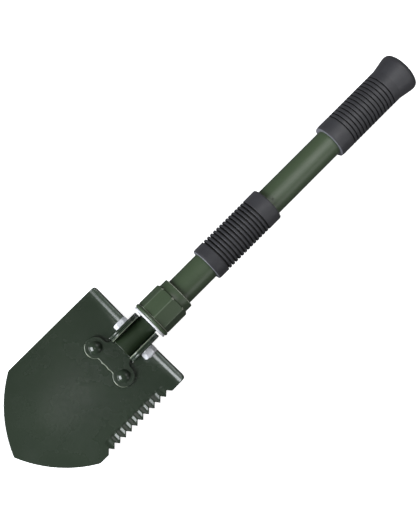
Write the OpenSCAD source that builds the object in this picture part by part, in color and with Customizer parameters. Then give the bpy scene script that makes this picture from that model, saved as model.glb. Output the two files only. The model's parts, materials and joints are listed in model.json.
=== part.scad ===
// Folding camp shovel, lying on its back: +X along the handle to its end, +Y across the blade,
// +Z up out of the blade's face. Every module is drawn from the pivot: X from the pivot axis
// along the handle, Z from the handle's centre line.

/* [Blade] */
// Full width of the blade
blade_w = 97; // [92:0.2:99]
// Thickness of the blade's sheet
sheet_t = 1.8; // [1.5:0.1:2]
// Distance from the pivot to the tip
tip_reach = 125; // [120:1:130]
// Radius of the two curved edges that meet at the tip
point_r = 98; // [96:1:104]
// How far the straight top edge lies behind the pivot
shoulder_x = 6.1; // [5:0.1:6.5]
// Radius of the dish across the blade
dish_r = 300; // [250:10:400]
// Bend radius of the treads, on the face
tread_r = 8.2; // [7:0.2:8.6]
// Angle through which the treads bend up
tread_angle = 68; // [60:1:74]

/* [Saw edge] */
// Distance between teeth
tooth_pitch = 6; // [6:0.05:6.2]
// Number of notches
notch_count = 11; // [6:1:11]
// Depth of the notches
notch_depth = 3.4; // [2:0.1:4]
// Place of the notch nearest the handle
first_notch_x = -11.4; // [-14:0.1:-10]
// How far a notch's long flank runs towards the tip
long_flank = 3.4; // [3:0.1:3.4]
// How far a notch's short flank runs towards the handle
short_flank = 2.5; // [1.5:0.1:2.5]

/* [Hinge] */
// Height of the pivot above the blade's face
face_drop = 18.2; // [18:0.1:20]
// Thickness of the bracket plates and ears
plate_t = 2; // [1.6:0.1:2]
// Place of the flats on the ears that the collar locks against
ear_flat = 13.25; // [13:0.05:13.3]
// Radius of the ears' corners about the pivot
ear_r = 14.6; // [14.2:0.1:14.6]
// Distance from the centre line to each rivet
rivet_y = 15; // [14:0.5:16]
// Distance from the pivot to the rivets
rivet_x = -26; // [-28:0.5:-25]
// Diameter of the rivets' domed heads
rivet_head_d = 10.2; // [9:0.1:10.6]
// Diameter of the pivot bolt
bolt_d = 6; // [5:0.5:6]
// Size of the bolt's head and nut across their flats
hex_af = 10; // [9:0.5:11]

/* [Head and collar] */
// Diameter of the round head between the ears
head_d = 16.3; // [15.5:0.1:16.4]
// Distance from the pivot to the head's square end
head_end = 12.3; // [10:0.1:12.3]
// Thread pitch of the head and the handle joint
pitch = 2; // [1.5:0.25:2.5]
// Diameter of the loose lock ring
ring_d = 30; // [28:0.5:31]
// Diameter of the collar's flange
flange_d = 31.4; // [30:0.2:31.6]
// Size of the octagonal part across its corners
octagon_d = 30.5; // [29:0.1:30.6]
// Diameter of the collar's plain rear part
collar_rear_d = 26.9; // [26:0.1:28]
// Place of the collar's rear end
collar_end = 46.4; // [46:0.2:50]

/* [Handle] */
// Outer diameter of both tubes
tube_d = 22; // [22:0.1:22.4]
// Wall of both tubes
tube_wall = 1.2; // [1:0.1:1.5]
// Place of the lower grip's front end
middle_grip_x = 75; // [70:1:80]
// Place of the joint between the tubes
joint_x = 138; // [136:1:140]
// Outer diameter of the middle grip
middle_grip_d = 28.3; // [27:0.1:30]
// Place of the end grip's front end
end_grip_x = 206.9; // [200:0.1:210]
// Outer diameter of the end grip's ribbed part
end_grip_d = 28.5; // [27:0.1:30]
// Largest diameter of the flared end
flare_d = 32.8; // [31:0.1:34]
// Distance from the pivot to the end of the handle
reach = 286; // [284:1:288]

/* [Hidden] */
$fn = 96;

// Blade and saw
half_w = blade_w / 2;
side_corner_r = 6;
shoulder_r = 3;
tip_r = 2;
face_z = -face_drop;
dish_z = face_z + dish_r;
back_r = dish_r + sheet_t;
dish_half_angle = 12;
bend_x = shoulder_x - (tread_r + sheet_t) * sin(tread_angle);
point_y = -36.65;
point_x = -tip_reach + tip_r + sqrt(pow(point_r - tip_r, 2) - pow(point_y, 2));
side_x = point_x - sqrt(pow(point_r - side_corner_r, 2) - pow(half_w - side_corner_r - point_y, 2));
side_angle = atan2(half_w - side_corner_r - point_y, side_x - point_x);
tip_angle = atan2(-point_y, -tip_reach + tip_r - point_x);
notch_x = -14.3;
notch_y = 12.6;

// Hinge
ear_gap = 16.6;
inner_ear_y = ear_gap / 2;
outer_ear_y = inner_ear_y + plate_t;
ears_y = outer_ear_y + plate_t;
lobe_r = 8.4;
fillet_r = 4;
plate_end_x = -30.6;
plate_start_x = -40;
rivet_d = 5;
rivet_fit = 0.06;
rivet_head_h = 2.6;
tail_d = 8;
tail_t = 1;
rivet_angle = asin(rivet_y / dish_r);
washer_t = 1;
bolt_head_t = 4;
nut_t = 5;
bolt_end = ears_y + washer_t + nut_t + 0.8;
bolt_play = 0.05;
hex_chamfer = 0.8;
hex_face_inset = 2.4;

// Head, ring and collar
ring_t = 1.6;
collar_front = 16.5;
ring_gap = 0.05;
flange_end = 19.6;
octagon_end = 39.5;
collar_thread_end = 27;
collar_relief_d = tube_d + 0.5;
thread_depth = 0.9;
head_thread_x = 14.5;
head_shoulder = 36;
plug_d = tube_d - 2 * tube_wall - 0.1;
tube_start = 37;
head_plug_end = 58;
head_pin_x = 42.5;
head_pin_d = 4;
running = 0.05;

// Handle
middle_grip_end = joint_x + 2;
grip_relief = 0.35;
washer_gap = 1;
upper_start = joint_x + washer_gap;
socket_start = 106;
socket_bottom = 112;
joint_thread_d = 14;
stud_tip = 117;
stud_plug_end = 158;
small_pin_d = 3;
socket_pin_x = 109;
stud_pin_x = 142.6;
stud_pin_sink = 0.4;
upper_end = reach - 5;
groove_count = 14;
middle_groove_x = 85.6;
middle_groove_pitch = 3.2;
end_groove_x = 219.9;
end_groove_pitch = 3.32;
groove_d = 1.2;
middle_groove_w = 1.3;
end_groove_w = 0.8;
grip_front_edge = 1.2;
grip_back_edge = 0.8;
plug_edge = 0.8;
flare_x = 270;
flare_corner_r = 3.7;

// Place of the part's origin: middle of its length and width, at its lowest point
mid_x = (reach - tip_reach) / 2;
tail_reach = back_r + plate_t + tail_t;
axis_z = tail_reach * cos(rivet_angle) + tail_d / 2 * sin(rivet_angle) - dish_z;

olive = [0.20, 0.25, 0.17];
dark_olive = [0.16, 0.20, 0.15];
rubber = [0.09, 0.09, 0.10];
zinc = [0.80, 0.81, 0.83];

function arc(centre, r, from, to, steps) =
    [for (i = [0 : steps]) centre + r * [cos(from + (to - from) * i / steps), sin(from + (to - from) * i / steps)]];

function notch(i) =
    let (x = first_notch_x - i * tooth_pitch)
    [[x - long_flank, -half_w], [x, notch_depth - half_w], [x + short_flank, -half_w]];

module place() {
    translate([-mid_x, 0, axis_z]) children();
}

// Turns a shape drawn round Z so that its Z runs along the handle
module along_x() {
    rotate([0, 90, 0]) children();
}

// Sweeps an outline of (radius, x) round the dish's centre line, as far as the blade's sides
module dish_sweep() {
    translate([0, 0, dish_z]) along_x() rotate([0, 0, -dish_half_angle])
        rotate_extrude(angle = 2 * dish_half_angle, $fn = 720) children();
}

// A plate bent to the dish, its face at radius r_face, from x0 to x1 along the handle
module dished_plate(r_face, x0, x1) {
    dish_sweep() translate([r_face, x0]) square([plate_t, x1 - x0]);
}

module blade_outline() {
    polygon(concat(
        arc([shoulder_x - shoulder_r, half_w - shoulder_r], shoulder_r, 0, 90, 6),
        arc([side_x, half_w - side_corner_r], side_corner_r, 90, side_angle, 4),
        arc([point_x, point_y], point_r, side_angle, tip_angle, 16),
        arc([-tip_reach + tip_r, 0], tip_r, tip_angle, 360 - tip_angle, 6),
        arc([point_x, -point_y], point_r, 360 - tip_angle, 360 - side_angle, 16),
        arc([side_x, side_corner_r - half_w], side_corner_r, 360 - side_angle, 270, 4),
        [for (i = [notch_count - 1 : -1 : 0]) each notch(i)],
        arc([shoulder_x - shoulder_r, shoulder_r - half_w], shoulder_r, 270, 360, 6),
        [[shoulder_x, -notch_y], [notch_x, -notch_y], [notch_x, notch_y], [shoulder_x, notch_y]]
    ));
}

// The sheet's run along the handle: straight, then bent up through the tread
module blade_profile() {
    bend = [dish_r - tread_r, bend_x];
    polygon(concat(
        [[dish_r, -tip_reach - 1], [back_r, -tip_reach - 1]],
        arc(bend, tread_r + sheet_t, 0, tread_angle, 12),
        arc(bend, tread_r, tread_angle, 0, 12)
    ));
}

module blade() {
    color(dark_olive) place() difference() {
        intersection() {
            dish_sweep() blade_profile();
            translate([0, 0, face_z - 10]) linear_extrude(40) blade_outline();
        }
        rivet_holes();
    }
}

// Half the plan of a bracket: a neck under the ears, a fillet, and a lobe round the rivet
function half_bracket(neck) =
    let (
        rise = neck + fillet_r - rivet_y,
        run = sqrt(pow(lobe_r + fillet_r, 2) - pow(rise, 2)),
        meet = atan2(rise, run),
        lobe_end = 360 - acos((plate_end_x - rivet_x) / lobe_r)
    )
    concat(
        [[ear_flat, neck]],
        arc([rivet_x + run, neck + fillet_r], fillet_r, 270, 180 + meet, 8),
        arc([rivet_x, rivet_y], lobe_r, meet, lobe_end, 24)
    );

module bracket_plan(neck) {
    half = half_bracket(neck);
    polygon(concat(half, [for (i = [len(half) - 1 : -1 : 0]) [half[i].x, -half[i].y]]));
}

module rivet_holes() {
    for (side = [-1, 1]) translate([rivet_x, 0, dish_z]) rotate([side * rivet_angle, 0, 0])
        translate([0, 0, -tail_reach]) cylinder(h = 20, d = rivet_d);
}

// Side view of an ear: round about the pivot, with three lock flats, and straight down to z
module ear_plan(z) {
    intersection() {
        union() {
            circle(ear_r);
            translate([-ear_flat, z]) square([2 * ear_flat, -z]);
        }
        translate([-ear_flat, z]) square([2 * ear_flat, ear_flat - z]);
    }
}

module ear_pair(y, t, z) {
    for (side = [0, 1]) mirror([0, side, 0]) translate([0, y + t, 0]) rotate([90, 0, 0])
        linear_extrude(t) ear_plan(z);
}

module bolt_hole(d) {
    rotate([90, 0, 0]) cylinder(h = 60, d = d, center = true);
}

module front_bracket() {
    color(dark_olive) place() difference() {
        union() {
            intersection() {
                dished_plate(dish_r - plate_t, plate_start_x, ear_flat + 1);
                translate([0, 0, face_z - 5]) linear_extrude(20) bracket_plan(outer_ear_y);
            }
            ear_pair(inner_ear_y, plate_t, face_z + 0.4);
        }
        rivet_holes();
        bolt_hole(bolt_d);
    }
}

module rear_bracket() {
    color(dark_olive) place() difference() {
        union() {
            intersection() {
                dished_plate(back_r, plate_start_x, ear_flat + 1);
                translate([0, 0, face_z - 10]) linear_extrude(20) bracket_plan(ears_y);
            }
            ear_pair(outer_ear_y, plate_t, face_z - sheet_t - 1);
        }
        rivet_holes();
        bolt_hole(bolt_d);
    }
}

// Domed head on the face, shank, and flat tail behind; Z runs out of the face
module rivet() {
    dome_r = (pow(rivet_head_d / 2, 2) + pow(rivet_head_h, 2)) / (2 * rivet_head_h);
    seat = tail_reach - dish_r + plate_t + rivet_fit;
    translate([0, 0, seat]) intersection() {
        translate([0, 0, rivet_head_h - dome_r]) sphere(dome_r);
        cylinder(h = rivet_head_h, d = rivet_head_d);
    }
    cylinder(h = seat + rivet_head_h / 2, d = rivet_d - rivet_fit);
    cylinder(h = tail_t - rivet_fit, d = tail_d);
}

module rivet_at(side) {
    color(dark_olive) place() translate([rivet_x, 0, dish_z]) rotate([side * rivet_angle, 0, 0])
        translate([0, 0, -tail_reach]) rivet();
}

module left_rivet() {
    rivet_at(1);
}

module right_rivet() {
    rivet_at(-1);
}

// Hexagon t thick on Z with its corners turned down at the far end
module hexagon(t) {
    corner_d = hex_af / cos(30);
    intersection() {
        cylinder(h = t, d = corner_d, $fn = 6);
        union() {
            cylinder(h = t - hex_chamfer, d = corner_d + 1);
            translate([0, 0, t - hex_chamfer])
                cylinder(h = hex_chamfer, d1 = corner_d, d2 = corner_d - hex_face_inset);
        }
    }
}

module pivot_bolt() {
    color(zinc) place() {
        translate([0, ears_y, 0]) rotate([-90, 0, 0]) hexagon(bolt_head_t);
        translate([0, ears_y + 1, 0]) rotate([90, 0, 0])
            cylinder(h = ears_y + 1 + bolt_end - 0.6, d = bolt_d - 2 * bolt_play);
        translate([0, 0.6 - bolt_end, 0]) rotate([90, 0, 0])
            cylinder(h = 0.6, d1 = bolt_d - 2 * bolt_play, d2 = bolt_d - 1.3);
    }
}

module spring_washer() {
    color(zinc) place() translate([0, -ears_y, 0]) rotate([90, 0, 0]) difference() {
        cylinder(h = washer_t, d = hex_af + 0.2);
        translate([0, 0, -1]) cylinder(h = washer_t + 2, d = bolt_d + 0.3);
        rotate([0, 0, 50]) translate([0, -0.5, -1]) cube([hex_af, 1, washer_t + 2]);
    }
}

module pivot_nut() {
    color(zinc) place() translate([0, -ears_y - washer_t, 0]) rotate([90, 0, 0]) difference() {
        hexagon(nut_t);
        translate([0, 0, -1]) cylinder(h = nut_t + 2, d = bolt_d);
        translate([0, 0, nut_t - 0.5]) cylinder(h = 1, d1 = bolt_d, d2 = bolt_d + 2);
    }
}

module lock_ring() {
    outer = ring_d / 2;
    bore = head_d / 2 + 0.2;
    color(zinc) place() translate([collar_front - ring_gap - ring_t, 0, 0]) along_x()
        rotate_extrude() polygon([[bore, 0], [outer - 0.3, 0], [outer, 0.3], [outer, ring_t - 0.3],
            [outer - 0.3, ring_t], [bore, ring_t]]);
}

// Outside of the collar as a round outline: flange with a rounded lip, then room for the octagon
module collar_outline() {
    lip = (flange_end - collar_front) / 2;
    translate([0, collar_front]) square([flange_d / 2 - lip, flange_end - collar_front]);
    translate([flange_d / 2 - lip, collar_front + lip]) circle(lip);
    polygon([[0, octagon_end], [collar_rear_d / 2, octagon_end], [collar_rear_d / 2, collar_end - 0.8],
        [collar_rear_d / 2 - 0.8, collar_end], [0, collar_end]]);
}

module collar_octagon() {
    flat_r = octagon_d / 2 * cos(22.5);
    intersection() {
        translate([0, 0, flange_end - 0.5]) cylinder(h = octagon_end - flange_end + 0.5, d = octagon_d, $fn = 8);
        rotate_extrude() polygon([[0, flange_end - 1], [octagon_d, flange_end - 1], [octagon_d, 30],
            [octagon_d / 2, octagon_end - 1.4], [flat_r, octagon_end], [0, octagon_end]]);
    }
}

module locking_collar() {
    color(olive) place() along_x() difference() {
        union() {
            rotate_extrude() collar_outline();
            collar_octagon();
        }
        translate([0, 0, collar_front - 1]) cylinder(h = 40, d = head_d + 2 * running);
        translate([0, 0, collar_thread_end]) cylinder(h = 40, d = collar_relief_d);
    }
}

// Outline of a threaded bar as annular V grooves between x0 and x1, all on the far side of r = 0
function thread_points(r, depth, x0, turns) =
    [for (i = [0 : turns - 1]) each [[r, x0 + i * pitch + 0.2], [r - depth, x0 + (i + 0.5) * pitch],
        [r, x0 + (i + 1) * pitch - 0.2]]];

module pivot_head() {
    r = head_d / 2;
    turns = floor((head_shoulder - head_thread_x) / pitch);
    color(olive) place() difference() {
        along_x() rotate_extrude() polygon(concat(
            [[0, -head_end], [r - 0.5, -head_end], [r, 0.5 - head_end]],
            thread_points(r, thread_depth, head_thread_x, turns),
            [[r, head_shoulder], [plug_d / 2, head_shoulder], [plug_d / 2, head_plug_end - 1],
                [plug_d / 2 - 1, head_plug_end], [0, head_plug_end]]
        ));
        bolt_hole(bolt_d);
        cross_hole(head_pin_x, head_pin_d);
    }
}

module cross_hole(x, d) {
    translate([x, 0, 0]) cylinder(h = 40, d = d, center = true);
}

module cross_pin(x, d, length) {
    translate([x, 0, 0]) cylinder(h = length, d = d - 0.04, center = true);
}

module head_pin() {
    color(zinc) place() cross_pin(head_pin_x, head_pin_d, tube_d - 0.4);
}

module tube(from, to) {
    along_x() rotate_extrude() translate([tube_d / 2 - tube_wall, from]) square([tube_wall, to - from]);
}

module lower_tube() {
    color(olive) place() difference() {
        tube(tube_start, joint_x);
        cross_hole(head_pin_x, head_pin_d);
        cross_hole(socket_pin_x, small_pin_d);
    }
}

// Half outline of ring grooves with round bottoms, cut from a sleeve of radius r
module ring_grooves(r, w, start, groove_pitch) {
    for (i = [0 : groove_count - 1]) translate([r, start + i * groove_pitch]) {
        translate([w / 2 - groove_d, 0]) circle(w / 2);
        translate([w / 2 - groove_d, -w / 2]) square([groove_d + 1, w]);
    }
}

module middle_grip() {
    r = middle_grip_d / 2;
    bore = tube_d / 2;
    color(rubber) place() along_x() rotate_extrude() difference() {
        polygon([[bore, middle_grip_x], [r - grip_front_edge, middle_grip_x],
            [r, middle_grip_x + grip_front_edge], [r, middle_grip_end - grip_back_edge],
            [r - grip_back_edge, middle_grip_end], [bore + grip_relief, middle_grip_end],
            [bore + grip_relief, joint_x], [bore, joint_x]]);
        ring_grooves(r, middle_groove_w, middle_groove_x, middle_groove_pitch);
    }
}

module joint_socket() {
    r = plug_d / 2;
    bore = joint_thread_d / 2;
    color(zinc) place() difference() {
        along_x() rotate_extrude() polygon([[0, socket_start], [r - plug_edge, socket_start],
            [r, socket_start + plug_edge], [r, joint_x], [bore + 1, joint_x], [bore, joint_x - 1],
            [bore, socket_bottom], [0, socket_bottom]]);
        cross_hole(socket_pin_x, small_pin_d);
    }
}

module socket_pin() {
    color(zinc) place() cross_pin(socket_pin_x, small_pin_d, tube_d - 0.2);
}

module joint_washer() {
    color("sienna") place() along_x() translate([0, 0, joint_x]) difference() {
        cylinder(h = washer_gap, d = tube_d - 0.6);
        translate([0, 0, -1]) cylinder(h = washer_gap + 2, d = joint_thread_d + 0.4);
    }
}

module joint_stud() {
    r = plug_d / 2;
    thread_r = joint_thread_d / 2 - running;
    turns = floor((joint_x - 1 - stud_tip) / pitch);
    color(zinc) place() difference() {
        along_x() rotate_extrude() polygon(concat(
            [[0, stud_tip - 1.5], [thread_r - 1.5, stud_tip - 1.5], [thread_r, stud_tip]],
            thread_points(thread_r, thread_depth, stud_tip, turns),
            [[thread_r - 0.9, stud_tip + turns * pitch], [thread_r - 0.9, upper_start], [r, upper_start],
                [r, stud_plug_end - plug_edge], [r - plug_edge, stud_plug_end], [0, stud_plug_end]]
        ));
        cross_hole(stud_pin_x, small_pin_d);
    }
}

module stud_pin() {
    color(olive) place() cross_pin(stud_pin_x, small_pin_d, tube_d - 2 * stud_pin_sink);
}

module upper_tube() {
    color(olive) place() difference() {
        tube(upper_start, upper_end);
        cross_hole(stud_pin_x, small_pin_d);
    }
}

module end_grip() {
    r = end_grip_d / 2;
    peak = flare_d / 2;
    bore = tube_d / 2;
    color(rubber) place() along_x() rotate_extrude() difference() {
        polygon(concat(
            [[bore, end_grip_x], [r - grip_front_edge, end_grip_x], [r, end_grip_x + grip_front_edge],
                [r, flare_x]],
            arc([peak - flare_corner_r, reach - flare_corner_r], flare_corner_r, 0, 90, 8),
            [[0, reach], [0, upper_end], [bore, upper_end]]
        ));
        ring_grooves(r, end_groove_w, end_groove_x, end_groove_pitch);
    }
}

blade();
front_bracket();
rear_bracket();
left_rivet();
right_rivet();
pivot_bolt();
spring_washer();
pivot_nut();
lock_ring();
locking_collar();
pivot_head();
head_pin();
lower_tube();
middle_grip();
joint_socket();
socket_pin();
joint_washer();
joint_stud();
stud_pin();
upper_tube();
end_grip();
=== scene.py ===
"""Folding camp shovel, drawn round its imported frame.

Shapes are worked out in millimetres from the blade's pivot: X along the handle, Y across the
blade, Z up out of its face. row() turns such a point into metres in the frame.
"""
import json
import math
import bmesh
import bpy
import numpy as np
from mathutils import Matrix, Vector
from mathutils.geometry import delaunay_2d_cdt


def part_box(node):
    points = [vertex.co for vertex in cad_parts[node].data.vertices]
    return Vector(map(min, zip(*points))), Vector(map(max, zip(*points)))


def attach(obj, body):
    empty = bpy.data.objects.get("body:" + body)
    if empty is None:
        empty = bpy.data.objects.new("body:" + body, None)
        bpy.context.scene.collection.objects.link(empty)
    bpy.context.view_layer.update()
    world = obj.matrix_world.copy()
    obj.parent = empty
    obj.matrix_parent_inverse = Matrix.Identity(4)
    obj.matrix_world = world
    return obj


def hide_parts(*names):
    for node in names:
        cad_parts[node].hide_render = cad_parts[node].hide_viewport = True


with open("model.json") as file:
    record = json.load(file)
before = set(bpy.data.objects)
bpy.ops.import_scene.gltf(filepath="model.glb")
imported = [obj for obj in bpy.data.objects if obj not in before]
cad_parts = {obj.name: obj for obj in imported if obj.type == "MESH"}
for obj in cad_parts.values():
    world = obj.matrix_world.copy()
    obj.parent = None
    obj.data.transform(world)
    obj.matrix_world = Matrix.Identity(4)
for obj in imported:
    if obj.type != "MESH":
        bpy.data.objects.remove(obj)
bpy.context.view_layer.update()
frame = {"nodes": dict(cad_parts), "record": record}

MM = 0.001
TAU = 2 * math.pi
fold = next(j for j in frame["record"]["behaviour"]["joints"] if j["name"] == "blade_fold")
PIVOT = Vector(fold["pos_m"])


def row(point):
    return PIVOT + Vector(point) * MM


def span(node, axis):
    """Lowest and highest coordinate of a CAD node along an axis, in mm from the pivot."""
    low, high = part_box(node)
    return (low[axis] - PIVOT[axis]) / MM, (high[axis] - PIVOT[axis]) / MM


# Sizes shared by several pieces, in mm
SHEET = 1.8
PLATE = 2.0
DISH_R = 300.0
FACE_Z = -18.2
DISH_Z = FACE_Z + DISH_R
EAR_R = 14.6
EAR_FLAT = 13.25
INNER_EAR_Y = 8.3
OUTER_EAR_Y = INNER_EAR_Y + PLATE
EARS_Y = OUTER_EAR_Y + PLATE
RIVET = (-26.0, 15.0)
BOLT_D = 6.0
HEX_AF = 10.0
PITCH = 2.0
TUBE_R = 11.0

# ---------------------------------------------------------------- camera and light


def make_camera():
    """Looks down on the handle from above the hinge, tilted a little towards the grip."""
    height = 696.0
    foot = 5.6
    aim = 77.5
    side = -1.3
    tilt = math.atan((aim - foot) / height)
    data = bpy.data.cameras.new("camera")
    data.sensor_width = 36
    data.lens = 64.4
    data.clip_start = 0.01
    camera = bpy.data.objects.new("camera", data)
    bpy.context.collection.objects.link(camera)
    right = Vector((1, -1, 0)).normalized()
    up = Vector((1, 1, 0)).normalized()
    level = Matrix((right, up, (0, 0, 1))).transposed()
    turn = Matrix.Rotation(-tilt, 3, "Y") @ level
    camera.matrix_world = Matrix.Translation(row((foot, side, height))) @ turn.to_4x4()
    bpy.context.scene.camera = camera


def soft_light(name, spot, size, power, aim=(60, 0, 0), colour=(1, 1, 1), beam=180):
    """A soft box at spot. A beam under 180 degrees acts like a honeycomb grid on its front."""
    data = bpy.data.lights.new(name, "AREA")
    data.shape = "RECTANGLE"
    data.size, data.size_y = size[0] * MM, size[1] * MM
    data.energy = power
    data.color = colour
    data.spread = math.radians(beam)
    light = bpy.data.objects.new(name, data)
    bpy.context.collection.objects.link(light)
    place = row(spot)
    look = row(aim) - place
    turn = look.to_track_quat("-Z", "Y").to_matrix().to_4x4()
    light.matrix_world = Matrix.Translation(place) @ turn


def floor_material():
    """Pale to the eye, and dimmer in reflections, like a white table between black flags."""
    material = bpy.data.materials.new("floor")
    material.use_nodes = True
    tree = material.node_tree
    pale = tree.nodes["Principled BSDF"]
    pale.inputs["Base Color"].default_value = (0.9, 0.9, 0.9, 1)
    pale.inputs["Roughness"].default_value = 0.9
    pale.inputs["Emission Color"].default_value = (1, 1, 1, 1)
    pale.inputs["Emission Strength"].default_value = 0.85
    dim = tree.nodes.new("ShaderNodeBsdfDiffuse")
    dim.inputs["Color"].default_value = (0.10, 0.10, 0.10, 1)
    mix = tree.nodes.new("ShaderNodeMixShader")
    path = tree.nodes.new("ShaderNodeLightPath")
    tree.links.new(path.outputs["Is Camera Ray"], mix.inputs["Fac"])
    tree.links.new(dim.outputs["BSDF"], mix.inputs[1])
    tree.links.new(pale.outputs["BSDF"], mix.inputs[2])
    tree.links.new(mix.outputs["Shader"], tree.nodes["Material Output"].inputs["Surface"])
    return material


def make_studio():
    world = bpy.data.worlds.new("studio")
    world.use_nodes = True
    sky = world.node_tree.nodes["Background"]
    sky.inputs["Color"].default_value = (1, 1, 1, 1)
    sky.inputs["Strength"].default_value = 0.15
    bpy.context.scene.world = world
    soft_light("overhead", (305, -60, 350), (680, 260), 0.39, aim=(222, -60, 0), beam=84)
    soft_light("low", (-660, 260, 400), (640, 530), 14, aim=(-10, -20, 0), colour=(0.93, 0.96, 1))
    soft_light("fill", (250, -420, 240), (420, 320), 0.07, aim=(190, 0, 0), beam=56)
    soft_light("spark", (-150, 0, 560), (40, 40), 0.0006, aim=(-26, 0, 0), beam=14)
    bpy.context.scene.view_settings.view_transform = "Standard"

    bpy.ops.mesh.primitive_plane_add(size=12, location=(0, 0, 0))
    floor = bpy.context.object
    floor.name = "floor"
    floor.data.materials.append(floor_material())


# ---------------------------------------------------------------- materials


class Nodes:
    """A material's node tree with short ways to add and join nodes."""

    def __init__(self, name, **settings):
        self.material = bpy.data.materials.new(name)
        self.material.use_nodes = True
        self.tree = self.material.node_tree
        self.shader = self.tree.nodes["Principled BSDF"]
        for socket, value in settings.items():
            self.shader.inputs[socket.replace("_", " ")].default_value = value
        self.place = self.add("ShaderNodeTexCoord").outputs["Object"]

    def add(self, kind, **settings):
        node = self.tree.nodes.new(kind)
        for key, value in settings.items():
            setattr(node, key, value)
        return node

    def join(self, source, target):
        self.tree.links.new(source, target)

    def noise(self, scale, detail=3.0, stretch=(1, 1, 1), rough=0.5):
        """Noise whose features are about 1/scale metres across."""
        mapping = self.add("ShaderNodeMapping")
        mapping.inputs["Scale"].default_value = stretch
        self.join(self.place, mapping.inputs["Vector"])
        node = self.add("ShaderNodeTexNoise")
        node.inputs["Scale"].default_value = scale
        node.inputs["Detail"].default_value = detail
        node.inputs["Roughness"].default_value = rough
        self.join(mapping.outputs["Vector"], node.inputs["Vector"])
        return node.outputs["Fac"]

    def spread(self, source, low, high, from_low=0.3, from_high=0.7):
        node = self.add("ShaderNodeMapRange")
        node.inputs["From Min"].default_value = from_low
        node.inputs["From Max"].default_value = from_high
        node.inputs["To Min"].default_value = low
        node.inputs["To Max"].default_value = high
        self.join(source, node.inputs["Value"])
        return node.outputs["Result"]

    def colours(self, source, *stops):
        node = self.add("ShaderNodeValToRGB")
        ramp = node.color_ramp
        while len(ramp.elements) < len(stops):
            ramp.elements.new(0.5)
        for element, (place, colour) in zip(ramp.elements, stops):
            element.position = place
            element.color = (*colour, 1)
        self.join(source, node.inputs["Fac"])
        return node.outputs["Color"]

    def bump(self, source, depth_mm, under=None):
        node = self.add("ShaderNodeBump")
        node.inputs["Strength"].default_value = 1.0
        node.inputs["Distance"].default_value = depth_mm * MM
        self.join(source, node.inputs["Height"])
        if under is not None:
            self.join(under, node.inputs["Normal"])
        return node.outputs["Normal"]

    def finish(self, colour=None, roughness=None, normal=None):
        for source, socket in ((colour, "Base Color"), (roughness, "Roughness"), (normal, "Normal")):
            if source is not None:
                self.join(source, self.shader.inputs[socket])
        return self.material


def paint(name, base, lift, roughness):
    """Sprayed enamel: slow drifts of colour, faint orange peel, and a thin glossier skin."""
    m = Nodes(name, Coat_Weight=0.2, Coat_Roughness=0.16, IOR=1.42)
    drift = m.noise(14, 3)
    colour = m.colours(drift, (0.3, base), (0.7, lift))
    peel = m.bump(m.noise(520, 2), 0.02)
    grain = m.bump(m.noise(900, 2), 0.004, peel)
    return m.finish(colour, m.spread(m.noise(60, 4), roughness - 0.05, roughness + 0.06), grain)


def rubber_material(name, roughness, grain_mm, tone=1.0):
    """Moulded rubber: bluish charcoal, dull, with a fine pebble and a dusty bloom."""
    # tone scales the colour: 0.2 gives the painted shade in the grooves, 5 the painted highlight on the
    # grip ends
    dark = tuple(c * tone for c in (0.027, 0.027, 0.031))
    light = tuple(c * tone for c in (0.036, 0.036, 0.041))
    m = Nodes(name, IOR=1.45, Sheen_Weight=0.05, Sheen_Roughness=0.5)
    bloom = m.noise(35, 4)
    colour = m.colours(bloom, (0.3, dark), (0.72, light))
    pebble = m.bump(m.noise(2600, 2), grain_mm)
    waves = m.bump(m.noise(180, 3), grain_mm, pebble)
    return m.finish(colour, m.spread(m.noise(240, 4), roughness - 0.06, roughness + 0.08), waves)


def zinc_material(name, metallic):
    """Bright zinc plate: pale, with fine turned lines and cloudy patches."""
    m = Nodes(name, Metallic=metallic)
    cloud = m.noise(220, 4)
    colour = m.colours(cloud, (0.3, (0.72, 0.73, 0.77)), (0.7, (0.90, 0.91, 0.94)))
    lines = m.bump(m.noise(500, 2, stretch=(6, 1, 1)), 0.002)
    return m.finish(colour, m.spread(m.noise(700, 3), 0.26, 0.42), lines)


def shank_material():
    """The bolt's shank: oiled black oxide with faint drawn lines."""
    m = Nodes("bolt_shank", Metallic=0.6)
    drawn = m.noise(600, 3, stretch=(1, 0.2, 1))
    colour = m.colours(drawn, (0.3, (0.012, 0.012, 0.013)), (0.7, (0.022, 0.021, 0.020)))
    return m.finish(colour, m.spread(drawn, 0.38, 0.55), m.bump(drawn, 0.004))


def fibre_material():
    """Red-brown vulcanised fibre, flecked along its sheet."""
    m = Nodes("joint_fibre", IOR=1.45)
    fleck = m.noise(900, 4, stretch=(1, 3, 1))
    colour = m.colours(fleck, (0.3, (0.16, 0.060, 0.030)), (0.7, (0.26, 0.11, 0.055)))
    return m.finish(colour, m.spread(fleck, 0.6, 0.8), m.bump(fleck, 0.03))


# ---------------------------------------------------------------- mesh building


def make_piece(name, body, material, slot, verts, faces, replaces):
    """A closed mesh from points in mm, riding on a body and standing for a CAD node."""
    mesh = bpy.data.meshes.new(name)
    mesh.from_pydata([tuple(row(v)) for v in verts], [], faces)
    work = bmesh.new()
    work.from_mesh(mesh)
    bmesh.ops.recalc_face_normals(work, faces=work.faces)
    work.to_mesh(mesh)
    work.free()
    for polygon in mesh.polygons:
        polygon.use_smooth = True
    mesh.set_sharp_from_angle(angle=math.radians(50))
    mesh.materials.append(material)
    piece = bpy.data.objects.new(name, mesh)
    bpy.context.collection.objects.link(piece)
    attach(piece, body)
    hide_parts(replaces)
    return piece


def refinish(piece, material, chosen):
    """Gives another material to the faces whose centre, in mm from the pivot, is chosen."""
    piece.data.materials.append(material)
    index = len(piece.data.materials) - 1
    for polygon in piece.data.polygons:
        if chosen((polygon.center - PIVOT) / MM, polygon.normal):
            polygon.material_index = index


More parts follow.
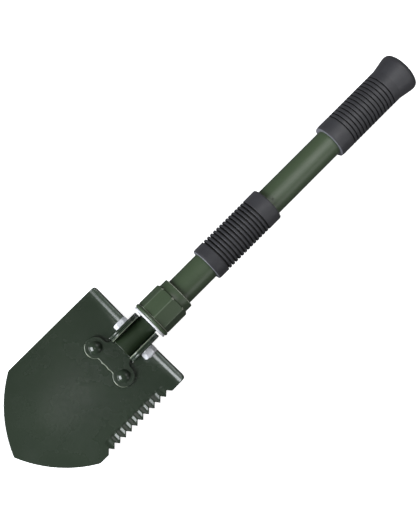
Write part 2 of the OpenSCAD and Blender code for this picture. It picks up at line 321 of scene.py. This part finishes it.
def rounded(corners, closed=True, steps=5, keep=0.12):
    """Rounds each (a, b, radius) corner of a path and holds the flats beside it with extra points."""
    count = len(corners)
    path = []
    for i, (a, b, radius) in enumerate(corners):
        here = Vector((a, b))
        ends = not closed and i in (0, count - 1)
        before = Vector(corners[i - 1][:2]) - here
        after = Vector(corners[(i + 1) % count][:2]) - here
        if ends or radius <= 0 or before.length < 1e-9 or after.length < 1e-9:
            path.append((a, b))
            continue
        angle = before.angle(after)
        if angle > math.pi - 0.01:
            path.append((a, b))
            continue
        reach = min(radius / math.tan(angle / 2), before.length * 0.49, after.length * 0.49)
        size = reach * math.tan(angle / 2)
        middle = (before.normalized() + after.normalized()).normalized()
        centre = here + middle * (size / math.sin(angle / 2))
        first = here + before.normalized() * reach
        last = here + after.normalized() * reach
        if before.length > 2 * reach + 4 * keep:
            path.append(tuple(first + before.normalized() * keep))
        start = first - centre
        sweep = start.angle_signed(last - centre)
        for k in range(steps + 1):
            turned = start.copy()
            turned.rotate(Matrix.Rotation(-sweep * k / steps, 2))
            path.append(tuple(centre + turned))
        if after.length > 2 * reach + 4 * keep:
            path.append(tuple(last + after.normalized() * keep))
    return path


def along_handle(a, b, c):
    return (a, b, c)


def turned(name, body, material, slot, path, place=along_handle, steps=96, closed=True):
    """Turns a path of (distance along the axis, radius) round the axis.

    A radius may be a function of angle.
    """
    verts, faces, rings = [], [], []
    for a, r in path:
        if not callable(r) and r <= 1e-6:
            rings.append([len(verts)])
            verts.append(place(a, 0, 0))
            continue
        rings.append(list(range(len(verts), len(verts) + steps)))
        for k in range(steps):
            angle = TAU * k / steps
            size = r(angle) if callable(r) else r
            verts.append(place(a, size * math.sin(angle), size * math.cos(angle)))
    pairs = list(zip(rings, rings[1:]))
    if closed:
        pairs.append((rings[-1], rings[0]))
    for one, two in pairs:
        for k in range(steps):
            n = (k + 1) % steps
            if len(one) == 1 and len(two) == 1:
                continue
            if len(one) == 1:
                faces.append((one[0], two[n], two[k]))
            elif len(two) == 1:
                faces.append((one[k], one[n], two[0]))
            else:
                faces.append((one[k], one[n], two[n], two[k]))
    return make_piece(name, body, material, slot, verts, faces, name)


def soft_min(a, b, blend):
    gap = max(blend - abs(a - b), 0) / blend
    return min(a, b) - gap * gap * blend / 4


def polygon_radius(sides, across_corners, blend):
    """Radius of a regular polygon with eased corners, the first corner at angle 0."""
    half = math.pi / sides
    flat = across_corners / 2 * math.cos(half)

    def radius(angle):
        off = (angle % (2 * half)) - half
        return soft_min(flat / math.cos(off), across_corners / 2, blend)
    return radius


def limited(shape, limit, blend=0.25):
    return lambda angle: soft_min(shape(angle), limit, blend)


def thread(major, depth, start, end, phase=0.0, per_turn=10):
    """Stations of a true right-hand helical thread, easing in and out of the plain bar."""
    stations = []
    count = int((end - start) / PITCH * per_turn)
    for i in range(count + 1):
        a = start + (end - start) * i / count
        fade = min(1.0, (a - start) / PITCH, (end - a) / PITCH)

        def radius(angle, a=a, fade=fade):
            turn = ((a + phase) / PITCH - angle / TAU) % 1.0
            tooth = min(1.0, max(0.0, abs(turn - 0.5) * 2 * 1.25 - 0.12))
            return major - depth * fade * (1 - tooth)
        stations.append((a, radius))
    return stations


def inset(loop, distance):
    """Moves each point of a loop to its left by a distance, mitred."""
    points = np.array(loop, dtype=float)
    ahead = np.roll(points, -1, axis=0) - points
    ahead /= np.linalg.norm(ahead, axis=1)[:, None]
    normal = np.stack([-ahead[:, 1], ahead[:, 0]], axis=1)
    mitre = normal + np.roll(normal, 1, axis=0)
    mitre /= np.linalg.norm(mitre, axis=1)[:, None]
    stretch = np.clip((mitre * normal).sum(axis=1), 0.45, 1)
    return points + mitre * (distance / stretch)[:, None]


def inside(points, loop):
    """Which points lie inside a closed loop."""
    x, y = points[:, 0], points[:, 1]
    result = np.zeros(len(points), dtype=bool)
    for (x0, y0), (x1, y1) in zip(loop, np.roll(loop, -1, axis=0)):
        crosses = (y0 > y) != (y1 > y)
        if not crosses.any():
            continue
        where = x0 + (y - y0) / (y1 - y0 if y1 != y0 else 1e-12) * (x1 - x0)
        result ^= crosses & (x < where)
    return result


def dense(loop, step):
    """Adds points so that no edge of a loop is longer than step."""
    result = []
    for (x0, y0), (x1, y1) in zip(loop, loop[1:] + loop[:1]):
        length = math.hypot(x1 - x0, y1 - y0)
        if length < 0.01:
            continue
        parts = math.ceil(length / step)
        result += [(x0 + (x1 - x0) * k / parts, y0 + (y1 - y0) * k / parts) for k in range(parts)]
    return result


def grid_points(loops, step, keep_off):
    """A staggered grid of points inside the first loop and outside the others."""
    inner = [inset(loop, keep_off) for loop in loops]
    low, high = np.min(loops[0], axis=0), np.max(loops[0], axis=0)
    rows = []
    for j, v in enumerate(np.arange(low[1], high[1], step * 0.87)):
        us = np.arange(low[0] + (j % 2) * step / 2, high[0], step)
        rows.append(np.stack([us, np.full(len(us), v)], axis=1))
    points = np.concatenate(rows)
    good = inside(points, inner[0])
    for hole in inner[1:]:
        good &= ~inside(points, hole)
    return points[good]


def sheet_metal(name, body, material, slot, loops, thickness, place, edge, step, extra=None):
    """A bent sheet with rounded edges. Loops are the outline (anticlockwise) and holes (clockwise)."""
    ease = [(edge * (1 - math.sin(t)), edge * (1 - math.cos(t)))
            for t in np.linspace(0, math.pi / 2, 4)]
    levels = [(edge + 0.3, 0)] + ease
    levels += [(gap, thickness - h) for gap, h in reversed(levels)]
    verts, faces, rims = [], [], []
    for loop in loops:
        rings = []
        for gap, h in levels:
            rings.append(list(range(len(verts), len(verts) + len(loop))))
            verts += [place(u, v, h) for u, v in inset(loop, gap)]
        for one, two in zip(rings, rings[1:]):
            for k in range(len(loop)):
                n = (k + 1) % len(loop)
                faces.append((one[k], one[n], two[n], two[k]))
        rims.append((rings[0], rings[-1]))
    inner = [inset(loop, edge + 0.3) for loop in loops]
    fill = grid_points(inner, step, step * 0.45)
    if extra is not None:
        spot = extra[inside(extra, inset(inner[0], 0.2))]
        near = np.min(np.linalg.norm(fill[:, None] - spot[None], axis=2), axis=1) if len(spot) else []
        fill = np.concatenate([fill[near > step * 0.5], spot]) if len(spot) else fill
    flat = [Vector(p) for loop in inner for p in loop] + [Vector(p) for p in fill]
    edges, start = [], 0
    for loop in inner:
        edges += [(start + k, start + (k + 1) % len(loop)) for k in range(len(loop))]
        start += len(loop)
    points, _, triangles, origin, _, _ = delaunay_2d_cdt(flat, edges, [], 0, 1e-6)
    where = np.array([tuple(p) for p in points])
    centres = np.array([where[list(t)].mean(axis=0) for t in triangles])
    good = inside(centres, inner[0])
    for hole in inner[1:]:
        good &= ~inside(centres, hole)
    boundary = [i for rim in rims for i in range(len(rim[0]))]
    for side, h in ((0, 0), (1, thickness)):
        rim = [i for r in rims for i in r[side]]
        index = {}
        for k, olds in enumerate(origin):
            old = min(olds) if olds else len(boundary)
            if old < len(boundary):
                index[k] = rim[old]
        for t, ok in zip(triangles, good):
            if not ok:
                continue
            for k in t:
                if k not in index:
                    index[k] = len(verts)
                    verts.append(place(where[k][0], where[k][1], h))
            faces.append(tuple(index[k] for k in t))
    return make_piece(name, body, material, slot, verts, faces, name)


def arc(centre, radius, start, end, steps):
    """Points of an arc, angles in degrees, both ends included."""
    angles = [math.radians(start + (end - start) * k / steps) for k in range(steps + 1)]
    return [(centre[0] + radius * math.cos(a), centre[1] + radius * math.sin(a)) for a in angles]


# ---------------------------------------------------------------- blade

HALF_W = span("blade", 1)[1] * DISH_R / (DISH_R + SHEET)
TREAD_X = 6.1
TREAD_R = 8.2
TREAD_ANGLE = math.radians(68)
BEND_X = TREAD_X - (TREAD_R + SHEET) * math.sin(TREAD_ANGLE)
TREAD_END = BEND_X + TREAD_ANGLE * (TREAD_R + SHEET / 2)
BEND_DRIFT = 2.2
BEND_RAMP = 12.0
TOOTH = 6.0
FIRST_NOTCH = -11.4
NOTCHES = 11
NOTCH_DEPTH = 3.4
LONG_FLANK = 3.4
SHORT_FLANK = 2.5
TIP_X = -125.0
POINT_R = 98.0
POINT_Y = 36.65


def flute(x, y):
    """Depth of the V grooves pressed behind the saw's notches. The end ones are shallower."""
    reach, fade, depth, half = 8.9, 1.3, 1.05, 2.75
    back = y + HALF_W
    if back > reach:
        return 0.0
    place = (FIRST_NOTCH - x) / TOOTH
    tooth = math.floor(place)
    if not 0 <= tooth < NOTCHES - 1:
        return 0.0
    weight = {0: 0.3, NOTCHES - 2: 0.55}.get(tooth, 1.0)
    off = abs((place - tooth) * TOOTH - half - 0.1)
    wall = half - math.hypot(off, 0.25)
    dip = depth * (wall + math.hypot(wall, 0.12)) / 2 / half
    return weight * dip * min(1.0, (reach - back) / fade)


def on_blade(u, v, h):
    """A point of the blade: u along the sheet, v across it, h behind its face.

    The tread's bend is tighter and starts later towards the corners.
    """
    drift = BEND_DRIFT * (abs(v) / HALF_W - 0.55)
    if u <= BEND_X:
        ramp = max(0.0, 1 + (u - BEND_X) / BEND_RAMP)
        x, rho, sunk = u + drift * ramp, DISH_R + h, flute(u, v)
    else:
        angle = (u - BEND_X) / (TREAD_R + SHEET / 2)
        bend_r = TREAD_R - drift / math.sin(TREAD_ANGLE)
        x = BEND_X + drift + (bend_r + h) * math.sin(angle)
        rho, sunk = DISH_R - bend_r + (bend_r + h) * math.cos(angle), 0.0
    tilt = math.asin(v / DISH_R)
    return (x, rho * math.sin(tilt), DISH_Z - rho * math.cos(tilt) - sunk)


def blade_outline():
    """The flat sheet, anticlockwise: tread edge, side, point, other side with the saw, and slot."""
    tip_r, side_r, corner_r = 2.0, 6.0, 3.4
    centre_x = TIP_X + tip_r + math.sqrt((POINT_R - tip_r) ** 2 - POINT_Y ** 2)
    rise = HALF_W - side_r + POINT_Y
    side_x = centre_x - math.sqrt((POINT_R - side_r) ** 2 - rise ** 2)
    side_a = math.degrees(math.atan2(rise, side_x - centre_x))
    tip_a = math.degrees(math.atan2(POINT_Y, TIP_X + tip_r - centre_x))
    half = [(TREAD_END - 0.9 * (1 - (v / HALF_W) ** 2), v) for v in (12.6, 20, 28, 36, 41)]
    half += arc((TREAD_END - 0.1 - corner_r, HALF_W - corner_r), corner_r, 0, 90, 8)
    half += arc((side_x, HALF_W - side_r), side_r, 90, side_a, 5)
    half += arc((centre_x, -POINT_Y), POINT_R, side_a, tip_a, 40)
    half += arc((TIP_X + tip_r, 0), tip_r, tip_a, 180, 4)
    other = [(u, -v) for u, v in reversed(half[:-1])]
    split = next(i for i, (u, v) in enumerate(other) if u > FIRST_NOTCH)
    rounding = 0.1
    shoulder = NOTCH_DEPTH * (1 - rounding) - HALF_W
    saw = []
    for i in reversed(range(NOTCHES)):
        x = FIRST_NOTCH - i * TOOTH
        saw += [(x - LONG_FLANK, -HALF_W), (x - LONG_FLANK * rounding, shoulder),
                (x, NOTCH_DEPTH * (1 - rounding / 2) - HALF_W),
                (x + SHORT_FLANK * rounding, shoulder), (x + SHORT_FLANK, -HALF_W)]
    slot = [(-14.3, -12.6), (-14.3, 12.6)]
    return half + other[:split] + saw + other[split:] + slot


def make_blade(material):
    u, v = np.meshgrid(np.arange(-78, -6, 0.5), np.arange(-HALF_W, -HALF_W + 11, 0.5))
    fine = np.stack([u.ravel(), v.ravel()], axis=1)
    outline = dense(blade_outline(), 2.0)
    return sheet_metal("blade", "blade", material, "blade_paint", [outline], SHEET, on_blade,
                       edge=0.45, step=2.0, extra=fine)


# ---------------------------------------------------------------- brackets and rivets


def bracket_map(face_r, ear_y):
    """Places points of a bracket's flat blank: plate, bend and upright ear.

    Also gives the blank's edge of the bend, and the blank's v for a height z on the ear.
    """
    bend = 1.5
    neutral = bend + PLATE / 2
    middle = face_r + PLATE / 2
    start = math.asin((ear_y - bend) / (middle - neutral))
    edge_v = middle * start
    turn = math.pi / 2 - start
    ear_v = edge_v + neutral * turn
    centre = ((middle - neutral) * math.sin(start), DISH_Z - (middle - neutral) * math.cos(start))

    def place(u, v, h):
        side = 1 if v >= 0 else -1
        v = abs(v)
        if v <= edge_v or u < -EAR_FLAT - 0.2:
            rho, angle = face_r + h, v / middle
            return (u, side * rho * math.sin(angle), DISH_Z - rho * math.cos(angle))
        size = bend + h
        if v <= ear_v:
            angle = start + (v - edge_v) / neutral
            return (u, side * (centre[0] + size * math.sin(angle)), centre[1] - size * math.cos(angle))
        return (u, side * (centre[0] + size), centre[1] + v - ear_v)

    return place, edge_v, lambda z: z - centre[1] + ear_v


def bracket(name, material, face_r, ear_y, neck):
    """A pressed bracket: a lobe round each rivet, a filleted neck, and an ear bent up on each side."""
    lobe_r, fillet_r, end_x = 8.4, 4.0, -30.6
    place, edge_v, at_z = bracket_map(face_r, ear_y)
    rise = neck + fillet_r - RIVET[1]
    run = math.sqrt((lobe_r + fillet_r) ** 2 - rise ** 2)
    meet = math.degrees(math.atan2(rise, run))
    lobe_end = 360 - math.degrees(math.acos((end_x - RIVET[0]) / lobe_r))
    slit = -EAR_FLAT - 0.45
    corner = math.degrees(math.acos(EAR_FLAT / EAR_R))
    ear = [(EAR_FLAT, 0.0), (EAR_FLAT, edge_v + 1.0)]
    ear += [(EAR_FLAT, at_z(z)) for z in (-12, -4)]
    ear += [(u, at_z(z)) for u, z in arc((0, 0), EAR_R, corner, 90 - corner, 6)]
    ear += [(u, at_z(z)) for u, z in arc((0, 0), EAR_R, 90 + corner, 180 - corner, 6)]
    ear += [(-EAR_FLAT, at_z(z)) for z in (-4, -12)]
    ear += [(-EAR_FLAT, edge_v + 0.6), (slit + 0.22, edge_v + 0.15), (slit, edge_v + 0.6), (slit, neck)]
    plate = arc((RIVET[0] + run, neck + fillet_r), fillet_r, 270, 180 + meet, 8)[1:]
    plate += arc(RIVET, lobe_r, meet, lobe_end, 24)
    plate += [(end_x + 0.35, 5.6), (end_x - 0.25, 3.2), (end_x + 0.2, 1.0)]
    half = ear[1:] + plate
    outline = half + [(u, -v) for u, v in reversed(half)]
    return sheet_metal(name, "blade", material, "blade_paint", [dense(outline, 2.0)], PLATE, place,
                       edge=0.55, step=1.8)


def rivet(name, material, side):
    """A rivet through plates and blade, square to the dished sheet: domed head, shank and flat tail."""
    tilt = side * math.asin(RIVET[1] / DISH_R)
    seat = -(DISH_R - PLATE)
    tail = -(DISH_R + SHEET + PLATE)
    head_r, head_h = 5.1, 2.6
    shank_r, tail_h = 2.5, 0.94
    dome_r = (head_r ** 2 + head_h ** 2) / (2 * head_h)
    rim = math.degrees(math.acos(1 - head_h / dome_r))
    dome = arc((seat + head_h - dome_r, 0), dome_r, 0, rim - 3, 12)
    path = [(seat + head_h, 0)] + dome[1:]
    path += [(seat + 0.15, head_r - 0.02), (seat, head_r - 0.3), (seat, shank_r), (tail, shank_r)]
    path += rounded([(tail, shank_r + 0.1, 0), (tail, 4.0, 0.15), (tail - tail_h, 3.9, 0.4),
                     (tail - tail_h, 0, 0)], closed=False)[1:]

    def place(a, b, c):
        y = c * math.cos(tilt) - a * math.sin(tilt)
        return (RIVET[0] + b, y, DISH_Z + a * math.cos(tilt) + c * math.sin(tilt))

    return turned(name, "blade", material, "blade_paint", path, place=place, steps=64, closed=False)


# ---------------------------------------------------------------- bolt, washer and nut


def across(a, b, c):
    """Along the bolt. A hexagon's first corner points along the handle, so that a flat is on top."""
    return (c, a, b)


def hexagon_path(start, end, shape, corner_r):
    """Stations of a hexagon with its far corners turned down, from start to end along the axis."""
    sign = 1 if end > start else -1
    flat_r = HEX_AF / 2 * 0.97
    path = [(start, limited(shape, corner_r - 0.15)), (start + sign * 0.12, shape)]
    path += [(end - sign * 0.95, shape)]
    for k in range(7):
        limit = corner_r + (flat_r - corner_r) * k / 6
        path.append((end - sign * 0.85 * (1 - k / 6), limited(shape, limit, 0.12)))
    return path


def make_bolt(material):
    """Hex bolt through the ears, with a dark shank that shows between them."""
    corner_r = HEX_AF / 2 / math.cos(math.pi / 6)
    shape = polygon_radius(6, corner_r * 2, 0.1)
    outer = EARS_Y + 4.0
    end = -(EARS_Y + 6.8)
    head = list(reversed(hexagon_path(EARS_Y, outer, shape, corner_r)))
    shank = BOLT_D / 2 - 0.05
    path = [(outer, 0), (outer, 3.9), (outer - 0.02, 4.4)] + head
    path += [(EARS_Y, shank + 0.2), (EARS_Y - 0.3, shank)]
    path += [(a, r) for a, r in reversed(thread(shank, 0.5, end + 0.5, -EARS_Y + 2, per_turn=10))]
    path += [(end + 0.5, shank), (end, shank - 0.6), (end, 0)]
    bolt = turned("pivot_bolt", "blade", material, "zinc_plate", path, place=across, closed=False)
    refinish(bolt, shank_material(), lambda at, facing: abs(at.y) < EARS_Y - 0.1)


def make_nut(material):
    """Hex nut against the spring washer, with a countersunk bore."""
    corner_r = HEX_AF / 2 / math.cos(math.pi / 6)
    shape = polygon_radius(6, corner_r * 2, 0.1)
    near = -(EARS_Y + 1.0)
    far = near - 5.0
    bore = BOLT_D / 2
    path = hexagon_path(near, far, shape, corner_r)
    path += [(far, bore + 1.1), (far, bore + 0.7), (far + 0.6, bore + 0.02)]
    path += [(near - 0.6, bore + 0.02), (near, bore + 0.6)]
    return turned("pivot_nut", "blade", material, "zinc_plate", path, place=across)


def make_spring_washer(material):
    """Split washer with its gap towards the handle."""
    gap = 6
    outline = arc((0, 0), 5.1, gap, 360 - gap, 60) + arc((0, 0), 3.15, 360 - gap, gap, 48)
    return sheet_metal("spring_washer", "blade", material, "zinc_plate", [outline], 1.0,
                       lambda u, v, h: (u, -EARS_Y - h, v), edge=0.15, step=1.2)


# ---------------------------------------------------------------- ring, collar and head


def make_ring(material):
    """Loose flat ring with eased edges."""
    front, back = span("lock_ring", 0)
    outer = span("lock_ring", 2)[1]
    bore = 8.35
    path = rounded([(front, bore, 0.25), (front, outer, 0.45), (back, outer, 0.45), (back, bore, 0.25)])
    return turned("lock_ring", "lock_ring", material, "zinc_plate", path, steps=128)


def make_collar(material, ridge_highlight_material, highlight_material):
    """Flange with a rounded lip, octagon with eased corners that fade into cones, and a plain rear."""
    front, end = span("locking_collar", 0)
    flange_r = span("locking_collar", 2)[1]
    lip = 1.55
    flange_end = front + 2 * lip
    octagon_end = 39.5
    rear_r = 13.45
    corner_r = 15.25
    shape = polygon_radius(8, corner_r * 2, 0.30)
    flat_r = corner_r * math.cos(math.pi / 8)
    bore, thread_end, relief = 8.2, 27.0, 11.25
    path = [(front, bore + 0.6), (front, flange_r - lip - 0.3)]
    path += [(front + lip + lip * math.sin(t), flange_r - lip + lip * math.cos(t))
             for t in np.linspace(-math.pi / 2, math.pi / 2 * 0.86, 14)]
    neck = flange_end + 0.15
    path += [(flange_end - 0.02, limited(shape, 14.9)), (neck, limited(shape, 14.95))]
    path += [(neck + 0.5, limited(shape, 15.2))]
    cut = 0.9
    path += [(a, shape) for a in np.linspace(neck + 1.0, octagon_end - cut - 0.2, 9)]
    for k in range(9):
        drop = k / 8
        limit = corner_r + 0.1 - (corner_r - flat_r + 0.1) * drop
        path.append((octagon_end - cut * (1 - drop), limited(shape, limit)))
    path += [(octagon_end + 0.25, flat_r - 0.25), (octagon_end + 0.32, rear_r + 0.15)]
    path += [(octagon_end + 0.6, rear_r)]
    path += rounded([(octagon_end + 1, rear_r, 0), (end, rear_r, 0.9), (end, relief, 0.3),
                     (thread_end, relief, 0.2), (thread_end, bore, 0.3), (front, bore, 0.6)],
                    closed=False)[1:-1]
    collar = turned("locking_collar", "collar", material, "handle_paint", path, steps=192)
    # Painted highlight along the octagon's ridges
    refinish(collar, ridge_highlight_material, ridge_highlight_faces(neck + 0.6, octagon_end - cut))
    # Painted highlight on the flange's rim, the rear rim and the ridge ends
    refinish(collar, highlight_material, collar_highlight_faces(flange_end, octagon_end, end, rear_r))


def make_head(material):
    """Round bar with a square end between the ears, a helical thread for the collar, and a plug."""
    front, back = span("pivot_head", 0)
    r, plug_r, shoulder = 8.15, 9.75, 36.0
    path = [(front, 0)] + rounded([(front, 0.1, 0), (front, r, 0.45), (14.0, r, 0)], closed=False)[1:]
    path += thread(r, 0.9, 14.2, shoulder - 0.5)
    path += [(shoulder - 0.2, r), (shoulder, r), (shoulder, plug_r)]
    path += rounded([(shoulder, plug_r, 0), (back, plug_r, 0.8), (back, 0, 0)], closed=False)[1:]
    return turned("pivot_head", "lower_handle", material, "handle_paint", path, closed=False)


def make_stud_pin(material):
    """Cross pin with dished ends, seen as a dimple in the upper tube."""
    middle = span("stud_pin", 0)
    centre = (middle[0] + middle[1]) / 2
    top = span("stud_pin", 2)[1]
    side = middle[1] - centre
    end = [(top - 0.3, 0), (top - 0.27, 0.4), (top - 0.06, side - 0.25), (top - 0.1, side)]
    path = end + [(-a, r) for a, r in reversed(end)]

    def place(a, b, c):
        return (centre + b, c, a)

    return turned("stud_pin", "upper_handle", material, "handle_paint", path, place=place, steps=32,
                  closed=False)


def make_stud(material):
    """Threaded stud with an undercut shoulder and a plug."""
    front, back = span("joint_stud", 0)
    shoulder = span("upper_tube", 0)[0]
    r, plug_r = 6.95, 9.75
    path = [(front, 0), (front, r - 1.4), (front + 1.4, r - 0.1)]
    path += thread(r, 0.9, front + 1.5, shoulder - 2.2)
    path += rounded([(shoulder - 2.1, r, 0), (shoulder - 2.0, r - 0.9, 0.3), (shoulder, r - 0.9, 0.3),
                     (shoulder, plug_r, 0.2), (back, plug_r, 0.8), (back, 0, 0)], closed=False)
    return turned("joint_stud", "upper_handle", material, "zinc_plate", path, closed=False)


# ---------------------------------------------------------------- grips and choosers of faces


def grooves(start, pitch, count, radius, width, depth, ease):
    """Corners of a row of ring grooves with eased rims and round bottoms."""
    corners = []
    for i in range(count):
        a = start + i * pitch
        corners += [(a - width / 2, radius, ease), (a - width / 2 + 0.12, radius - depth, 0.22),
                    (a + width / 2 - 0.12, radius - depth, 0.22), (a + width / 2, radius, ease)]
    return corners


def off_ridge(at):
    """Degrees between a point and the nearest of the collar's eight ridges."""
    return abs((math.degrees(math.atan2(at.y, at.z)) + 22.5) % 45 - 22.5)


def collar_highlight_faces(front_edge, ridge_end, end, rear_r):
    """Chooses the collar's rims and the rear end of each of its ridges, which are painted pale as a
    painted highlight.
    """
    def chosen(at, facing):
        radius = math.hypot(at.y, at.z)
        rim = (abs(at.x - front_edge) < 0.3 and radius > 14
               or at.x > end - 0.5 and radius > rear_r - 0.6)
        ridge = off_ridge(at) < 3 and abs(at.x - ridge_end + 0.3) < 0.6
        return rim or (ridge and radius > rear_r - 0.3)
    return chosen


def ridge_highlight_faces(start, end):
    """Chooses the narrow faces on both sides of the collar's ridges, which get a painted highlight."""
    return lambda at, facing: off_ridge(at) < 1.2 and start < at.x < end


def bracket_highlight_edges(at, facing):
    """Chooses the bracket's edges that get a painted highlight: the ears' inner rims, the slot's lip
    and the tip-side edge.
    """
    ear = at.z > 2 and abs(at.y) < INNER_EAR_Y + 0.65 and abs(facing.x) + abs(facing.z) > 0.35
    lip = abs(at.y) < INNER_EAR_Y and at.x > -EAR_FLAT - 1.0 and facing.x > 0.3 and facing.z > 0.1
    return ear or lip or (facing.x < -0.25 and facing.z > 0.25 and at.x < RIVET[0] - 4)


def groove_shade_faces(radius):
    """Chooses the faces that lie deeper than a radius from the handle's centre line, for the painted
    shade in the grooves.
    """
    return lambda at, facing: TUBE_R + 0.8 < math.hypot(at.y, at.z) < radius


def end_highlight_faces(x, lip=math.inf):
    """Chooses the faces of a grip's end that face the blade at x, and the rim beyond lip, which get a
    painted highlight.
    """
    return lambda at, facing: (at.x < x + 0.35 and facing.x < -0.6) or at.x > lip


def make_middle_grip(material, end_highlight_material, groove_shade_material):
    """Ribbed sleeve over the joint, with a plain bore and a wider mouth for the upper tube."""
    front, back = span("middle_grip", 0)
    r = span("middle_grip", 2)[1]
    mouth_r = TUBE_R + 0.35
    corners = [(front, TUBE_R, 0.2), (front, r - 0.3, 0.9), (front + 2.0, r, 3.0)]
    corners += grooves(85.6, 3.2, 14, r, 1.45, 1.45, 0.4)
    corners += [(back, r, 1.0), (back, mouth_r, 0.5)]
    corners += [(back - 2.0, mouth_r, 0.1), (back - 2.0, TUBE_R, 0.1)]
    grip = turned("middle_grip", "lower_handle", material, "grip_rubber",
                  rounded(corners, keep=0.3), steps=144)
    # Painted shade in the groove floors
    refinish(grip, groove_shade_material, groove_shade_faces(r - 0.45))
    # Painted highlight on the front end face and the rear rim
    refinish(grip, end_highlight_material, end_highlight_faces(front, back - 0.25))


def make_end_grip(material, end_highlight_material, groove_shade_material):
    """Ribbed grip with a flared, closed end."""
    front, back = span("end_grip", 0)
    peak = span("end_grip", 2)[1]
    r = 14.25
    inner_end = span("upper_tube", 0)[1]
    corners = [(front, TUBE_R, 0.2), (front, r - 0.3, 0.9), (front + 2.0, r, 3.0)]
    corners += grooves(219.9, 3.32, 14, r, 1.0, 1.3, 0.3)
    corners += [(270.2, r, 2.5), (281.2, peak - 0.15, 6), (283.0, peak, 1.0)]
    corners += [(back, peak - 0.6, 3.7), (back, 0, 0)]
    corners += [(inner_end, 0, 0), (inner_end, TUBE_R, 0.3), (front, TUBE_R, 0.2)]
    path = rounded(corners[1:-1], closed=False, keep=0.3, steps=6)
    end = next(i for i, (a, b) in enumerate(path) if b == 0)
    outer = [(front, TUBE_R)] + path[:end + 1]
    inner = path[end + 1:] + [(front, TUBE_R)]
    grip = turned("end_grip", "upper_handle", material, "grip_rubber", outer + inner[:-1], steps=144)
    # Painted shade in the groove floors
    refinish(grip, groove_shade_material, groove_shade_faces(r - 0.35))
    # Painted highlight on the front end face
    refinish(grip, end_highlight_material, end_highlight_faces(front))


# ---------------------------------------------------------------- build

make_camera()
make_studio()

DARK_OLIVE = ((0.019, 0.028, 0.018), (0.025, 0.036, 0.023))
blade_paint = paint("blade_paint", *DARK_OLIVE, 0.26)
handle_paint = paint("handle_paint", (0.045, 0.067, 0.036), (0.052, 0.076, 0.041), 0.38)
rivet_paint = paint("rivet_paint", *DARK_OLIVE, 0.11)
# Lighter paint for the collar's ridges: a painted highlight along the corners
ridge_highlight_paint = paint("ridge_highlight_paint", (0.085, 0.110, 0.072), (0.105, 0.135, 0.090), 0.32)
# Pale paint on the collar's rims and ridge ends: a painted highlight, not bare metal
collar_highlight_paint = paint("collar_highlight_paint", (0.34, 0.37, 0.30), (0.46, 0.49, 0.42), 0.3)
# Pale paint that is a painted highlight on rounded edges, not wear
edge_highlight_paint = paint("edge_highlight_paint", (0.17, 0.20, 0.14), (0.28, 0.31, 0.24), 0.3)
# Darker paint for the bar between the ears: painted shade from the ears and collar, the enamel itself
# is the handle's
shaded_head_paint = paint("shaded_head_paint", (0.014, 0.024, 0.011), (0.018, 0.030, 0.014), 0.34)
grip_rubber = rubber_material("grip_rubber", 0.46, 0.012)
# Near-black rubber for the groove floors: painted shade
groove_shade_rubber = rubber_material("groove_shade_rubber", 0.60, 0.012, tone=0.2)
# Five times lighter rubber for the grip ends and the middle grip's rear rim: a painted highlight
end_highlight_rubber = rubber_material("end_highlight_rubber", 0.18, 0.003, tone=5)
zinc_plate = zinc_material("zinc_plate", 0.35)
ring_plate = zinc_material("ring_plate", 0.1)
joint_fibre = fibre_material()

make_blade(blade_paint)
front = bracket("front_bracket", blade_paint, DISH_R - PLATE, INNER_EAR_Y, OUTER_EAR_Y)
# Painted highlight: the front bracket's ear rims, slot lip and tip-side edges are painted pale
refinish(front, edge_highlight_paint, bracket_highlight_edges)
bracket("rear_bracket", blade_paint, DISH_R + SHEET, OUTER_EAR_Y, EARS_Y)
rivet("left_rivet", rivet_paint, 1)
rivet("right_rivet", rivet_paint, -1)
make_bolt(zinc_plate)
make_nut(zinc_plate)
make_spring_washer(zinc_plate)
make_ring(ring_plate)
make_collar(handle_paint, ridge_highlight_paint, collar_highlight_paint)
# The head bar gets the darker paint as painted shade
make_head(shaded_head_paint)
make_stud(zinc_plate)
make_stud_pin(handle_paint)
make_middle_grip(grip_rubber, end_highlight_rubber, groove_shade_rubber)
make_end_grip(grip_rubber, end_highlight_rubber, groove_shade_rubber)

CAD_FINISH = {
    "lower_tube": handle_paint, "upper_tube": handle_paint,
    "head_pin": zinc_plate, "socket_pin": zinc_plate, "joint_socket": zinc_plate,
    "joint_washer": joint_fibre,
}
for node, material in CAD_FINISH.items():
    for holder in frame["nodes"][node].material_slots:
        holder.material = material
